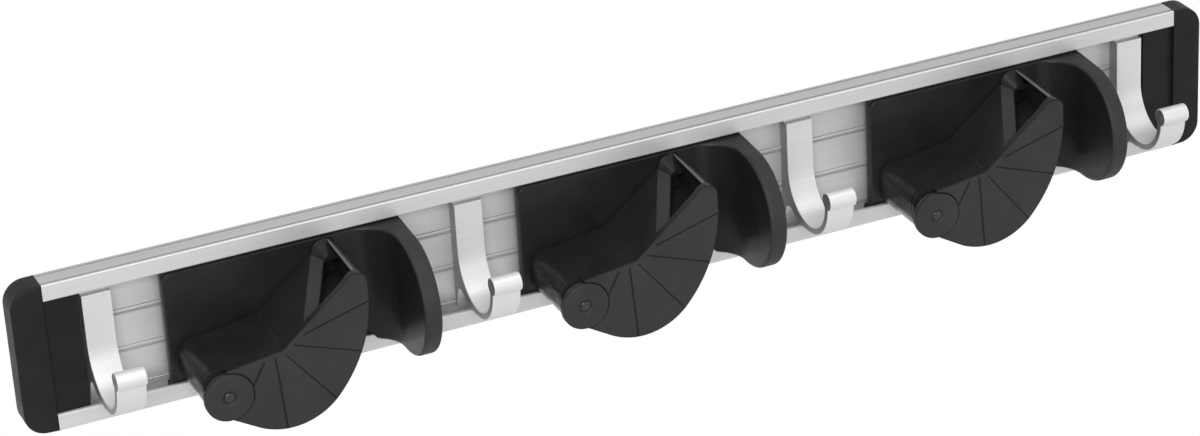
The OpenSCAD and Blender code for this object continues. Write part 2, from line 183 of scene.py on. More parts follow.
def lathe(profile, centre, steps=64, closed=False, finish=0):
    # a profile of (radius, depth) pairs turned about an axis square to the wall
    ring = polar(np.arange(steps) * 360 / steps)
    return stackRings([facing(centre + ring * radius, depth) for radius, depth in profile], closed, finish)


def moved(solid, x):
    return solid[0] + np.array([x, 0, 0]), solid[1], solid[2]


def shadeEvenly(piece):
    even = piece.modifiers.new("evenShading", "WEIGHTED_NORMAL")
    even.keep_sharp = True


def addPiece(name, solids, finishes, body, node, sharpAngle=35):
    starts = np.cumsum([0] + [len(solid[0]) for solid in solids])
    points = np.concatenate([solid[0] for solid in solids]) * mm
    faces = [[corner + start for corner in face]
             for solid, start in zip(solids, starts) for face in solid[1]]
    numbers = np.concatenate([solid[2] for solid in solids])
    mesh = bpy.data.meshes.new(name)
    mesh.from_pydata(points.tolist(), [], faces)
    mesh.polygons.foreach_set("material_index", numbers.astype(np.int32))
    mesh.polygons.foreach_set("use_smooth", np.ones(len(faces), bool))
    mesh.set_sharp_from_angle(angle=np.radians(sharpAngle))
    for finish in finishes:
        mesh.materials.append(finish)
    mesh.update()
    piece = bpy.data.objects.new(name, mesh)
    bpy.context.scene.collection.objects.link(piece)
    shadeEvenly(piece)
    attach(piece, body)
    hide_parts(node)
    return piece


# Finishes

def newFinish(name):
    material = bpy.data.materials.new(name)
    material.use_nodes = True
    tree = material.node_tree
    return material, tree, tree.nodes["Principled BSDF"]


def setSockets(shader, **values):
    for key, value in values.items():
        shader.inputs[key.replace("_", " ")].default_value = value


def stretchedNoise(tree, stretch, scale, detail=3.0):
    # noise in object coordinates, with its own scale for each axis
    place = tree.nodes.new("ShaderNodeTexCoord")
    mapping = tree.nodes.new("ShaderNodeMapping")
    mapping.inputs["Scale"].default_value = stretch
    noise = tree.nodes.new("ShaderNodeTexNoise")
    noise.inputs["Scale"].default_value = scale
    noise.inputs["Detail"].default_value = detail
    tree.links.new(place.outputs["Object"], mapping.inputs["Vector"])
    tree.links.new(mapping.outputs["Vector"], noise.inputs["Vector"])
    return noise.outputs["Fac"]


def spreadTo(tree, value, socket, low, high):
    # the middle of a noise, 0.3 to 0.7, spread between two values
    spread = tree.nodes.new("ShaderNodeMapRange")
    for key, number in (("From Min", 0.3), ("From Max", 0.7), ("To Min", low), ("To Max", high)):
        spread.inputs[key].default_value = number
    tree.links.new(value, spread.inputs["Value"])
    tree.links.new(spread.outputs["Result"], socket)


def tintTo(tree, value, socket, low, high):
    ramp = tree.nodes.new("ShaderNodeValToRGB")
    ramp.color_ramp.elements[0].position = 0.3
    ramp.color_ramp.elements[1].position = 0.7
    ramp.color_ramp.elements[0].color = (*low, 1)
    ramp.color_ramp.elements[1].color = (*high, 1)
    tree.links.new(value, ramp.inputs["Fac"])
    tree.links.new(ramp.outputs["Color"], socket)


def bumpTo(tree, shader, value, strength, distance):
    bump = tree.nodes.new("ShaderNodeBump")
    bump.inputs["Strength"].default_value = strength
    bump.inputs["Distance"].default_value = distance
    tree.links.new(value, bump.inputs["Height"])
    tree.links.new(bump.outputs["Normal"], shader.inputs["Normal"])


metalLook = {
    # grey of the darkest and the lightest draw line, and roughness
    "rail": {"grey": (0.56, 0.61), "rough": (0.38, 0.46)},
    # a darker grey that paints the shade on the rail's top face
    "top": {"grey": (0.43, 0.49), "rough": (0.34, 0.42)},
    # a lighter grey that paints the highlight on the front edges' rounds and the ribs' upper sides
    "paintedHighlight": {"grey": (0.63, 0.7), "rough": (0.38, 0.46)},
    # a darker grey that paints the shade in the top's grooves and on the ribs' lower sides
    "paintedShade": {"grey": (0.28, 0.34), "rough": (0.38, 0.46)},
    "hook": {"grey": (0.63, 0.67), "rough": (0.42, 0.5)},
}
drawLines = (4, 1100, 1100)
metalGrain = (900, 900, 900)


def drawnAluminium(name, look):
    # anodised extrusion: long faint draw lines along the rail, over a fine grain
    s = metalLook[look]
    material, tree, shader = newFinish(name)
    setSockets(shader, Metallic=0.4)
    lines = stretchedNoise(tree, drawLines, 1.0)
    tintTo(tree, lines, shader.inputs["Base Color"], *[(grey, grey, grey + 0.007) for grey in s["grey"]])
    grain = stretchedNoise(tree, metalGrain, 2.0, 2.0)
    spreadTo(tree, grain, shader.inputs["Roughness"], *s["rough"])
    bumpTo(tree, shader, lines, 0.06, 0.00003)
    return material


def sawnAluminium(name):
    # cut face of an extrusion: short saw marks, duller than the drawn faces
    material, tree, shader = newFinish(name)
    setSockets(shader, Metallic=1.0)
    marks = stretchedNoise(tree, (300, 2600, 500), 1.0)
    tintTo(tree, marks, shader.inputs["Base Color"], (0.33, 0.33, 0.335), (0.45, 0.45, 0.46))
    spreadTo(tree, marks, shader.inputs["Roughness"], 0.42, 0.6)
    bumpTo(tree, shader, marks, 0.25, 0.00005)
    return material


plasticLook = {
    # grey of the darkest and the lightest cloud, roughness, gloss, grains a metre and their depth in metres
    "cap": {"grey": (0.009, 0.015), "rough": (0.42, 0.55), "gloss": 0.14, "grain": 1500, "deep": 0.00006},
    "base": {"grey": (0.012, 0.018), "rough": (0.24, 0.36), "gloss": 0.16, "grain": 2200, "deep": 0.00003},
    "arm": {"grey": (0.013, 0.018), "rough": (0.22, 0.34), "gloss": 0.1, "grain": 2200, "deep": 0.00003},
    "fan": {"grey": (0.023, 0.03), "rough": (0.5, 0.62), "gloss": 0.2, "grain": 1800, "deep": 0.00006},
    "hub": {"grey": (0.012, 0.02), "rough": (0.16, 0.28), "gloss": 0.5, "grain": 2200, "deep": 0.00001},
    # a lighter grey than the arm's, with more gloss: a painted highlight for the rim's rounded end
    "rim": {"grey": (0.03, 0.04), "rough": (0.16, 0.22), "gloss": 0.7, "grain": 2200, "deep": 0.00001},
}


def mouldedPlastic(name, look):
    # black moulded plastic: cloudy colour and roughness over a fine spark-eroded grain
    s = plasticLook[look]
    material, tree, shader = newFinish(name)
    setSockets(shader, Specular_IOR_Level=s["gloss"])
    cloud = stretchedNoise(tree, (60, 60, 60), 1.0, 4.0)
    tintTo(tree, cloud, shader.inputs["Base Color"], *[(grey, grey, grey * 1.03) for grey in s["grey"]])
    smear = stretchedNoise(tree, (150, 150, 150), 1.0, 5.0)
    spreadTo(tree, smear, shader.inputs["Roughness"], *s["rough"])
    grain = stretchedNoise(tree, (s["grain"],) * 3, 1.0, 2.0)
    bumpTo(tree, shader, grain, 0.3, s["deep"])
    return material


def turnedSteel(name, low, high, roughLow, roughHigh):
    material, tree, shader = newFinish(name)
    setSockets(shader, Metallic=1.0)
    rings = stretchedNoise(tree, (200, 3000, 200), 1.0)
    tintTo(tree, rings, shader.inputs["Base Color"], low, high)
    spreadTo(tree, rings, shader.inputs["Roughness"], roughLow, roughHigh)
    return material


railFinish = drawnAluminium("drawnRail", "rail")
shadedTopFinish = drawnAluminium("drawnTopPaintedShade", "top")
paintedHighlightFinish = drawnAluminium("edgeAndRibPaintedHighlight", "paintedHighlight")
paintedShadeFinish = drawnAluminium("grooveAndRibPaintedShade", "paintedShade")
hookFinish = drawnAluminium("drawnHook", "hook")
sawnFinish = sawnAluminium("sawnHook")
capFinish = mouldedPlastic("capPlastic", "cap")
baseFinish = mouldedPlastic("basePlastic", "base")
armFinish = mouldedPlastic("armPlastic", "arm")
fanFinish = mouldedPlastic("fanPlastic", "fan")
rimHighlightFinish = mouldedPlastic("rimPaintedHighlight", "rim")
hubFinish = mouldedPlastic("hubPlastic", "hub")
axleFinish = turnedSteel("axleSteel", (0.5, 0.5, 0.5), (0.62, 0.62, 0.62), 0.25, 0.4)
washerFinish = turnedSteel("washerSteel", (0.07, 0.07, 0.07), (0.12, 0.12, 0.12), 0.35, 0.5)
print("finishes ready")


# Rail

railShape = {
    "web": 1.8, "lip": 1.6, "lipHigh": 6.6, "flange": 1.6, "ribPitch": 15.5, "ribApart": 1.5,
    "ribWide": 0.9, "ribHigh": 0.55, "groove": 0.8, "grooveDeep": 0.3, "grooveEdge": 0.08,
    "edge": 0.45, "inner": 0.25, "root": 0.3, "screwHole": 5.2, "screwIn": 6.5,
}


def railSection():
    # upper half from the middle of the web to the middle of the back, mirrored for the lower half
    s = railShape
    inside, slot, lipBack = railHalf - s["flange"], railHalf - s["lipHigh"], railDepth - s["lip"]
    ribs = []
    for pitch in (0.5, 1.5):
        for line in (-0.5, 0.5):
            z = pitch * s["ribPitch"] + line * s["ribApart"]
            ribs.append((s["web"], z) + arcPoints((0, 0), 1, -90, 90, 6) * (s["ribHigh"], s["ribWide"] / 2))
    corners = [(s["web"], inside), (lipBack, inside), (lipBack, slot),
               (railDepth, slot), (railDepth, railHalf)]
    radii = [s["root"], s["root"], s["inner"], s["edge"], s["edge"]]
    for at in (lipBack, s["web"]):
        corners += [(at + s["groove"] / 2, railHalf), (at + s["groove"] / 2, railHalf - s["grooveDeep"]),
                    (at - s["groove"] / 2, railHalf - s["grooveDeep"]), (at - s["groove"] / 2, railHalf)]
        radii += [s["grooveEdge"]] * 4
    corners += [(0, railHalf), (0, 0), (s["web"], 0)]
    radii += [s["inner"], 0, 0]
    upper = roundCorners(corners, radii, 4)
    start = np.argmin(np.linalg.norm(upper - (s["web"], 0), axis=1))
    upper = np.roll(upper, -start, 0)
    if upper[1, 1] < 1e-6:
        upper = np.roll(upper[::-1], 1, 0)
    half = np.concatenate([upper[:1], *ribs, upper[1:]])
    half = half[half[:, 1] > 1e-6]
    return cleanLoop(np.concatenate([half, half[::-1] * (1, -1)]))


def railFinishes(points, faces):
    # The top is painted darker than the front as painted shade, the front edges' rounds and the ribs'
    # upper sides are painted lighter as painted highlight, and the grooves and the ribs' lower sides darker
    # as painted shade.
    s = railShape
    main, top, paintedHighlight, paintedShade = range(4)
    numbers = []
    for face in faces:
        depth, z = -points[face, 1].mean(), points[face, 2].mean()
        below = railHalf - abs(z)
        ribPlace = (z / s["ribPitch"] + 0.5) % 1 - 0.5
        ribUp = (ribPlace * s["ribPitch"] + s["ribApart"]) % s["ribApart"] < s["ribApart"] / 2
        if s["web"] + 0.02 < depth < s["web"] + s["ribHigh"] and below > s["flange"] + 0.5:
            # the ribs' upper sides get painted highlight, their lower sides painted shade
            numbers.append(paintedHighlight if ribUp else paintedShade)
        # the front edges' rounds get painted highlight
        elif depth > railDepth - s["edge"] and 0.01 < below < s["edge"]:
            numbers.append(paintedHighlight)
        # the top's grooves get painted shade
        elif 0.01 < below < s["grooveDeep"] + 0.05 and depth < railDepth - s["edge"]:
            numbers.append(paintedShade)
        # the top face gets the darker grey of painted shade
        else:
            numbers.append(top if z > 0 and below < 0.01 else main)
    return numbers


def screwDrill(side):
    # a round tool that passes through the web where a wall screw goes
    s = railShape
    through = [(s["screwHole"] / 2, -2), (s["screwHole"] / 2, 4)]
    points, faces = lathe(through, np.array([side * (railEnd - s["screwIn"]), 0]), 40)[:2]
    mesh = bpy.data.meshes.new("drill")
    mesh.from_pydata((points * mm).tolist(), [], faces)
    drill = bpy.data.objects.new("drill", mesh)
    bpy.context.scene.collection.objects.link(drill)
    return drill


def addRail():
    points, faces = prism(railSection(), [(0, -railEnd), (0, railEnd)], sideways)[:2]
    solid = (points, faces, railFinishes(points, faces))
    finishes = [railFinish, shadedTopFinish, paintedHighlightFinish, paintedShadeFinish]
    piece = addPiece("rail_body", [solid], finishes, "root", "rail")
    piece.modifiers.clear()
    drills = [screwDrill(side) for side in (-1, 1)]
    for drill in drills:
        cut = piece.modifiers.new("drilled", "BOOLEAN")
        cut.object = drill
        cut.solver = "EXACT"
    graph = bpy.context.evaluated_depsgraph_get()
    whole, drilled = piece.data, bpy.data.meshes.new_from_object(piece.evaluated_get(graph))
    piece.modifiers.clear()
    piece.data = drilled
    bpy.data.meshes.remove(whole)
    drilled.name = "rail_body"
    for drill in drills:
        tool = drill.data
        bpy.data.objects.remove(drill)
        bpy.data.meshes.remove(tool)
    shadeEvenly(piece)


addRail()
print("rail ready")


# End caps

capShape = {
    "corner": 8.5, "edge": 1.0, "railSideEdge": 0.25, "tongueLong": 13.2, "tongueThick": 3.0,
    "tongueEdge": 0.3, "foot": 28.2, "footFront": 8.6, "legHigh": 3.2, "web": 1.8,
}


def addCap(name, side):
    s = capShape
    reach = abs(boxOf(name)[0 if side < 0 else 1, 0]) - railEnd
    outline = roundCorners([(0, -railHalf), (reach, -railHalf), (reach, railHalf), (0, railHalf)],
                           [0.2, s["corner"], s["corner"], 0.2], 10)
    weight = np.where(outline[:, :1] < 0.5, s["railSideEdge"], 1.0)
    head = prism(outline, edgePath(0, railDepth, 0.3, s["edge"], 6), weight=weight)
    tongueBack = s["footFront"] - s["tongueThick"]
    tongue = roundCorners([(-s["tongueLong"], -s["foot"]), (0.4, -s["foot"]), (0.4, s["foot"]),
                           (-s["tongueLong"], s["foot"])], [0.8, 0, 0, 0.8], 4)
    solids = [head, prism(tongue, edgePath(tongueBack, s["footFront"], 0.2, s["tongueEdge"], 3))]
    for up in (-1, 1):
        z0, z1 = sorted((up * s["foot"], up * (s["foot"] - s["legHigh"])))
        leg = roundCorners([(-s["tongueLong"], z0), (0.4, z0), (0.4, z1), (-s["tongueLong"], z1)], 0.3, 2)
        solids.append(prism(leg, [(0, s["web"]), (0, tongueBack + 0.5)]))
    placed = []
    for points, faces, numbers in solids:
        points = points * (side, 1, 1) + (side * railEnd, 0, 0)
        placed.append((points, [face[::-1] for face in faces] if side < 0 else faces, numbers))
    addPiece(name + "_body", placed, [capFinish], "root", name)


addCap("end_cap_left", -1)
addCap("end_cap_right", 1)
print("end caps ready")


# Hooks

hookShape = {
    "back": 2.4, "plate": 6.0, "foot": 28.2, "top": 20.8, "front": 8.3, "backRadius": 16.8,
    "frontRadius": 14.3, "thick": 2.7, "drop": 15.8, "bulb": 3.6, "bulbOut": 1.8, "bulbUp": 2.6,
    "underRadius": 20, "underBack": 3.6, "wedge": 1.0, "edge": 0.3,
}


def hookSection():
    s = hookShape
    backCentre = np.array([s["front"] + s["backRadius"], s["backRadius"] - s["drop"]])
    frontCentre = np.array([backCentre[0], s["frontRadius"] - s["drop"]])
    bulbCentre = frontCentre + (s["frontRadius"] + s["bulbOut"], s["bulbUp"])
    across = bulbCentre - frontCentre
    run = np.linalg.norm(across)
    underCentre = np.array([backCentre[0] - s["underBack"],
                            np.sqrt(s["underRadius"] ** 2 - s["underBack"] ** 2) - s["drop"] - s["thick"]])

    def meet(radius):
        # where the bulb meets a circle of that radius about the front centre
        half = np.degrees(np.arccos((s["bulb"] ** 2 + run ** 2 - radius ** 2) / (2 * s["bulb"] * run)))
        return 180 + np.degrees(np.arctan2(across[1], across[0])) + half

    frontStart, frontEnd = 272, 352
    apexX = s["front"] + s["wedge"]
    apexAngle = 270 - np.degrees(np.arcsin((underCentre[0] - apexX) / s["underRadius"]))
    apex = underCentre + polar(apexAngle, s["underRadius"])
    underStart = 270 + np.degrees(np.arcsin(s["underBack"] / s["underRadius"]))
    upper = roundCorners([(s["back"], -s["foot"]), (s["back"], s["foot"]), (s["plate"], s["foot"]),
                          (s["plate"], s["top"]), (s["front"], s["top"]), (s["front"], 0)],
                         [0.4, 0.4, 0.4, 0.3, 0.5, 0], 4)
    upper = np.roll(upper, -np.argmax(np.linalg.norm(upper - (s["front"], 0), axis=1) < 1e-6) - 1, 0)[:-1]
    if upper[0, 0] > s["plate"]:
        upper = upper[::-1]
    return cleanLoop(np.concatenate([
        upper,
        arcPoints(backCentre, s["backRadius"], 180, 270, 24),
        arcPoints(frontCentre, s["frontRadius"], frontStart + 1, frontEnd, 22),
        arcPoints(bulbCentre, s["bulb"], meet(s["frontRadius"]),
                  meet(s["frontRadius"] + s["thick"]) - 360, 28),
        arcPoints(frontCentre, s["frontRadius"] + s["thick"], frontEnd, frontStart - 1, 22),
        arcPoints(underCentre, s["underRadius"], underStart - 2, apexAngle, 14),
        [(s["plate"], apex[1] - s["wedge"])],
    ]))


hookLoop = hookSection()
hookWide = boxOf("hook_1")[1, 0] - boxOf("hook_1")[0, 0]
hookPath = edgePath(0, hookWide, hookShape["edge"], hookShape["edge"], 3)
for name in hookNames:
    solid = moved(prism(hookLoop, hookPath, sideways, endFinish=1), hookLeft[name])
    addPiece(name + "_body", [solid], [hookFinish, sawnFinish], name, name)
print("hooks ready")


# Holder bases

baseShape = {
    "wide": 94.0, "padHalf": 21.9, "padFront": 9.6, "padCorner": 3.5, "footFront": 8.6, "footBack": 2.4,
    "flange": 2.8, "foot": 28.2, "runner": 3.4, "wall": 7.0, "hollow": 13.0, "roundFront": 23.8,
    "out": 48.8, "top": 22.2, "padEdge": 0.6, "rimEdge": 1.5, "outerEdge": 1.3,
    "pivot": (11.3, -16.0), "boss": 6.3, "bossFront": 11.0, "axle": 3.0,
    "pegRadius": 2.5, "pegOver": 18.7, "pegUp": 6.113, "pegFront": 14.4,
}


def cradleSheet():
    # The pad, the hollow and the wall are one plate bent round the hollow. w runs along its front:
    # flat pad, then a quarter circle, then the wall. A loop drawn in (w, z) is laid on the bent
    # front B(w) and on the back K(w); between them run rings of points, rounded at both rims.
    s = baseShape
    inner = s["wide"] - s["wall"]
    bendStart = inner - s["hollow"]
    bendLong = s["hollow"] * np.pi / 2
    wallStart = bendStart + bendLong
    centreDepth = s["padFront"] + s["hollow"]
    discW = wallStart + s["out"] - s["roundFront"] - centreDepth
    discZ = s["top"] - s["roundFront"]
    bottom = discZ - s["roundFront"]
    railClear = railDepth + 0.2

    def bendAngle(w):
        return np.clip((w - bendStart) / s["hollow"], 0, np.pi / 2)

    def frontAt(w):
        a = bendAngle(w)
        x = np.minimum(w, bendStart) + s["hollow"] * np.sin(a)
        depth = centreDepth - s["hollow"] * np.cos(a) + np.maximum(w - wallStart, 0)
        return np.stack([x, depth], -1)

    def backAt(w):
        t = np.clip((w - bendStart) / bendLong, 0, 1)
        x = np.minimum(w, bendStart) + (s["wide"] - bendStart) * np.minimum(2 * t, 1)
        padBack = s["footFront"] - 0.1
        depth = padBack + (centreDepth - padBack) * np.maximum(2 * t - 1, 0) + np.maximum(w - wallStart, 0)
        return np.stack([x, depth], -1)

    stepW = bendStart + s["hollow"] * np.arccos((centreDepth - railClear) / s["hollow"])
    bend = np.linspace(bendStart, wallStart, 25)[1:]
    flat = np.linspace(s["padCorner"], bendStart, 12)[1:]
    lowW = np.concatenate([flat, bend])
    fromStep = [-3, -1.6, 0, 1.6, 3.4]
    stepDown = [-s["padHalf"], -s["padHalf"] - 0.25, (bottom - s["padHalf"]) / 2, bottom + 0.3, bottom]
    bottomEdge = np.interp(lowW, stepW + np.array(fromStep), stepDown)
    rise = [bendStart - 8, bendStart + 4]
    topEdge = np.interp(lowW, rise, [s["padHalf"], s["top"]])
    corner = s["padCorner"]
    loop = np.concatenate([
        arcPoints((corner, corner - s["padHalf"]), corner, 180, 270, 8),
        np.stack([lowW, bottomEdge], 1),
        arcPoints((discW, discZ), s["roundFront"], -90, 90, 60),
        np.stack([lowW, topEdge], 1)[::-1],
        arcPoints((corner, s["padHalf"] - corner), corner, 90, 180, 8),
    ])
    loop = cleanLoop(loop)
    spine = np.stack([np.clip(loop[:, 0], s["padHalf"], discW), np.full(len(loop), discZ)], 1)
    side = unit(np.roll(loop, -1, 0) - np.roll(loop, 1, 0))
    normal = np.stack([side[:, 1], -side[:, 0]], 1)
    w = loop[:, 0]
    # both rims' rounds grow from the pad's to the wall's
    grow = np.clip((w - bendStart + 6) / 16, 0, 1)
    frontEdge = (s["padEdge"] + (s["rimEdge"] - s["padEdge"]) * grow)[:, None]
    backEdge = (0.05 + (s["outerEdge"] - 0.05) * np.clip((w - wallStart + 8) / 10, 0, 1))[:, None]

    def on(surface, flatPoints):
        place = surface(flatPoints[:, 0])
        return np.stack([place[:, 0], -place[:, 1], flatPoints[:, 1]], 1)

    rings = []
    innerLoop = loop - normal * frontEdge
    for t in (0, 0.3, 0.6, 0.85, 1):
        rings.append(on(frontAt, spine + (innerLoop - spine) * t))
    smooth = len(rings) + 1
    a = bendAngle(innerLoop[:, 0])
    outward = np.stack([normal[:, 0] * np.cos(a), -normal[:, 0] * np.sin(a), normal[:, 1]], 1)
    faceNormal = np.stack([-np.sin(a), -np.cos(a), np.zeros(len(loop))], 1)
    base = on(frontAt, innerLoop)
    for turn in np.radians(np.linspace(0, 90, 6)[1:]):
        rings.append(base + frontEdge * (np.sin(turn) * outward + (np.cos(turn) - 1) * faceNormal))
    rimFront = rings[-1]
    backRim = on(backAt, loop)
    backT = np.clip((w - bendStart) / bendLong, 0, 1)[:, None]
    backNormal = np.where(backT > 0.5, [[1.0, 0, 0]], [[0, 1.0, 0]])
    rimBack = backRim - backNormal * backEdge
    for t in (0.35, 0.7, 1):
        rings.append(rimFront + (rimBack - rimFront) * t)
    innerBack = loop - normal * backEdge
    for turn in np.radians(np.linspace(0, 90, 5)[1:]):
        flatPart = loop - normal * backEdge * (1 - np.cos(turn))
        rings.append(on(backAt, flatPart) - backNormal * backEdge * (1 - np.sin(turn)))
    matt = len(rings) - smooth
    for t in (0.6, 0.3, 0):
        rings.append(on(backAt, spine + (innerBack - spine) * t))
    rings = np.array(rings)
    # what lies within the slot of the rail stays between its lips
    inSlot = -rings[..., 1] < railClear
    rings[..., 2] = np.where(inSlot, np.maximum(rings[..., 2], -s["padHalf"]), rings[..., 2])
    return stackRings(rings, finish=[0] * smooth + [1] * matt + [0] * 2)


def baseSolids():
    s = baseShape
    flangeBack = s["footFront"] - s["flange"]
    flange = roundCorners([(0, -s["foot"]), (s["wide"], -s["foot"]),
                           (s["wide"], s["foot"]), (0, s["foot"])], 0.5, 3)
    solids = [cradleSheet(), prism(flange, edgePath(flangeBack, s["footFront"], 0.2, 0.2, 2))]
    for up in (-1, 1):
        z0, z1 = sorted((up * s["foot"], up * (s["foot"] - s["runner"])))
        runner = roundCorners([(0, z0), (s["wide"], z0), (s["wide"], z1), (0, z1)], 0.3, 2)
        solids.append(prism(runner, edgePath(s["footBack"], flangeBack + 0.4, 0.3, 0, 3)))
    pivot = np.array(s["pivot"])
    boss = [(s["axle"], s["footBack"]), (s["boss"], s["footBack"]), (s["boss"], s["bossFront"] - 0.3),
            (s["boss"] - 0.3, s["bossFront"]), (s["axle"], s["bossFront"])]
    solids.append(lathe(boss, pivot, 48, True))
    peg = pivot + (s["pegOver"], s["pegUp"])
    solids.append(lathe([(s["pegRadius"], s["footFront"] - 0.5), (s["pegRadius"], s["pegFront"] - 0.4),
                         (s["pegRadius"] - 0.4, s["pegFront"]), (0, s["pegFront"])], peg, 32))
    return solids


# Cams

camShape = {
    "back": 11.2, "front": 42.6, "plate": 3.0, "pivot": (11.3, -16.0), "valley": (33.5, -2.2),
    "fanOver": 1.0, "fanDrop": 6.8, "fan": 25.87, "fanEnd": -121, "face": 56.0, "faceStart": -42,
    "slope": 39.0, "leftSlope": 7.5, "arm": 36.6, "tip": 4.4, "tipUp": 0.6, "hub": 8.3, "bore": 3.05,
    "shoulder": 6.0, "shoulderLeft": 2.6, "valleySlide": 1.6, "leftRise": 0.4, "crease": 1.0,
    "roof": 3.6, "shell": 1.8, "rim": 0.9, "thinning": (12.0, 16.0), "rimFront": 90, "rimBack": 74,
    "ear": 5.3, "recess": 9.6,
    "rays": ((-120, -5.2, 0.7), (-86, -3.5, 0.6), (-52, -0.8, 0.35), (-20, 2.3, 0.35), (15.4, 1.8, 0.5)),
    "rayDeep": 0.22, "rayIn": 1.9, "rayLong": 20.0, "rib": 1.4, "ribBack": 15.2,
    "plateEdge": 0.4, "plateBackEdge": 0.45, "backEdge": 0.8,
    "pocketStart": 12.1, "pocketEnd": 30.8, "slopeWide": 5.0, "slopeDeep": 3.0,
    "pocketMouth": ((36.6, 11.2), (36.2, 13.5), (35.3, 16.2), (34.7, 16.5)),
    "earFoot": 16.5, "earDrop": 5.8, "collar": 1.5, "collarGap": 0.45,
}


def camLines(away=0.0):
    # The curves of the front view that the cam's solids share. From the plate's back, away = 0,
    # to the cam's back, away = 1, the valley slides up the right arm, the left arm rises a
    # little and the tip's corner widens to the ear.
    s = camShape
    pivot, valley = np.array(s["pivot"]), np.array(s["valley"])
    armWay, armUp = polar(s["slope"]), polar(s["slope"] + 90)
    fanCentre = valley + (s["fanOver"], -s["fanDrop"])
    faceCentre = fanCentre + polar(s["faceStart"], s["fan"] - s["face"])
    faceX = faceCentre[0] + s["face"]
    tipTop = (valley + armWay * s["arm"])[1] + s["tipUp"]
    tipCentre = np.array([faceX - s["tip"], tipTop - s["tip"]])
    low = (tipCentre - valley) @ armUp
    tipTurn = s["slope"] + 180 - np.degrees(np.arcsin(-low / s["tip"]))
    leftTop = valley - (valley[0] - pivot[0]) * np.array([1, np.tan(np.radians(s["leftSlope"]))])
    leftTop = leftTop + (0, s["leftRise"] * away)
    fanLast = fanCentre + polar(s["fanEnd"], s["fan"])
    onward = polar(s["fanEnd"] - 90)
    foot = (pivot - fanLast) @ onward
    aside = abs((pivot - fanLast) @ polar(s["fanEnd"]))
    rimRound = s["tip"] + (s["ear"] - s["tip"]) * away
    rimEnd = s["rimFront"] + (s["rimBack"] - s["rimFront"]) * away
    tipLine = arcPoints(tipCentre, s["tip"], 0, tipTurn, 18)
    crease = valley + armWay * s["valleySlide"] * away
    bend = roundCorners([valley + armWay * 8, crease, leftTop], [0, s["crease"], 0], 6)
    return {
        "pivot": pivot, "valley": valley, "faceX": faceX, "armWay": armWay, "armUp": armUp,
        "tipCentre": tipCentre, "leftTop": leftTop, "tip": tipLine,
        "toRecess": [fanLast + onward * (foot - np.sqrt(s["recess"] ** 2 - aside ** 2))],
        "toHub": [fanLast + onward * foot],
        "fan": arcPoints(fanCentre, s["fan"], s["fanEnd"], s["faceStart"], 34),
        "face": arcPoints(faceCentre, s["face"], s["faceStart"], 0, 16)[1:],
        "rim": arcPoints((faceX - rimRound, tipCentre[1]), rimRound, 0, rimEnd, 14),
        "crease": bend[np.argsort(-bend[:, 0])][1:-1],
    }


def rayStart(c, centre, along):
    # where a groove starts: at its depth below the top of one of the arms
    starts = []
    for slope in (camShape["slope"], camShape["leftSlope"]):
        up = polar(slope + 90)
        if along @ up < 0:
            starts.append((-camShape["rayIn"] - (centre - c["valley"]) @ up) / (along @ up))
    return min(starts)


def slotted(outline, centre, angle, wide, start):
    # opens a straight slot of that width, from start to the outline, in the direction of angle
    along, across = polar(angle), polar(angle + 90)
    reach, side = (outline - centre) @ along, (outline - centre) @ across
    ahead = reach > 0
    ends = [np.array([np.interp(edge, side[ahead], outline[ahead, k]) for k in (0, 1)])
            for edge in (-wide / 2, wide / 2)]
    inner = [centre + along * start + across * edge for edge in (-wide / 2, wide / 2)]
    first = np.argmax(ahead & (side > -wide / 2))
    count = np.sum(ahead & (np.abs(side) < wide / 2))
    slot = [ends[0], inner[0], inner[1], ends[1]]
    return np.concatenate([outline[:first], slot, outline[first + count:]])


def camPlate():
    # The front plate is two layers: the grooves are slots through the front one. The first
    # groove opens into the disc's recess, the others into the fan's edge.
    s = camShape
    c = camLines()
    plateBack = s["front"] - s["plate"]
    edge = np.concatenate([c["toRecess"], c["fan"], c["face"], c["tip"]])
    away = c["toRecess"][0] - c["pivot"]
    recessEnd = np.degrees(np.arctan2(away[1], away[0]))
    turn = s["rays"][0][0] + 90
    upper = arcPoints(c["pivot"], s["recess"], 90, turn, 24)
    lower = arcPoints(c["pivot"], s["recess"], turn, recessEnd, 12)[1:-1]
    mouthFar, mouthNear = 33, 14
    armTop = c["valley"] + np.linspace(mouthFar, mouthNear, 12)[:, None] * c["armWay"]
    before = np.concatenate([armTop, c["crease"], [c["leftTop"]]])
    whole = cleanLoop(np.concatenate([edge, before, upper, lower]))
    for number, (angle, offset, wide) in enumerate(s["rays"]):
        along, across = polar(angle), polar(angle + 90)
        centre = c["valley"] + across * offset
        start = rayStart(c, centre, along)
        if number == 0:
            upper = slotted(upper, centre, angle, wide, start)
        else:
            edge = slotted(edge, centre, angle, wide, start)
    grooved = cleanLoop(np.concatenate([edge, before, upper, lower]))
    onWhole = np.min(np.linalg.norm(grooved[:, None] - whole[None], axis=2), axis=1) < 1e-6
    slotWeight = 0.25
    weight = np.where(onWhole, 1.0, slotWeight)[:, None]
    atPocket = np.min(np.linalg.norm(whole[:, None] - armTop[None, 1:-1], axis=2), axis=1) < 1e-6
    slotFloor = s["front"] - s["rayDeep"]
    backPath = edgePath(plateBack, slotFloor, s["plateBackEdge"], 0, 4)
    frontPath = edgePath(slotFloor - 0.01, s["front"], 0, s["plateEdge"], 4)
    return [prism(whole, backPath, weight=atPocket[:, None] * 1.0),
            prism(grooved, frontPath, weight=weight, endFinish=1)]


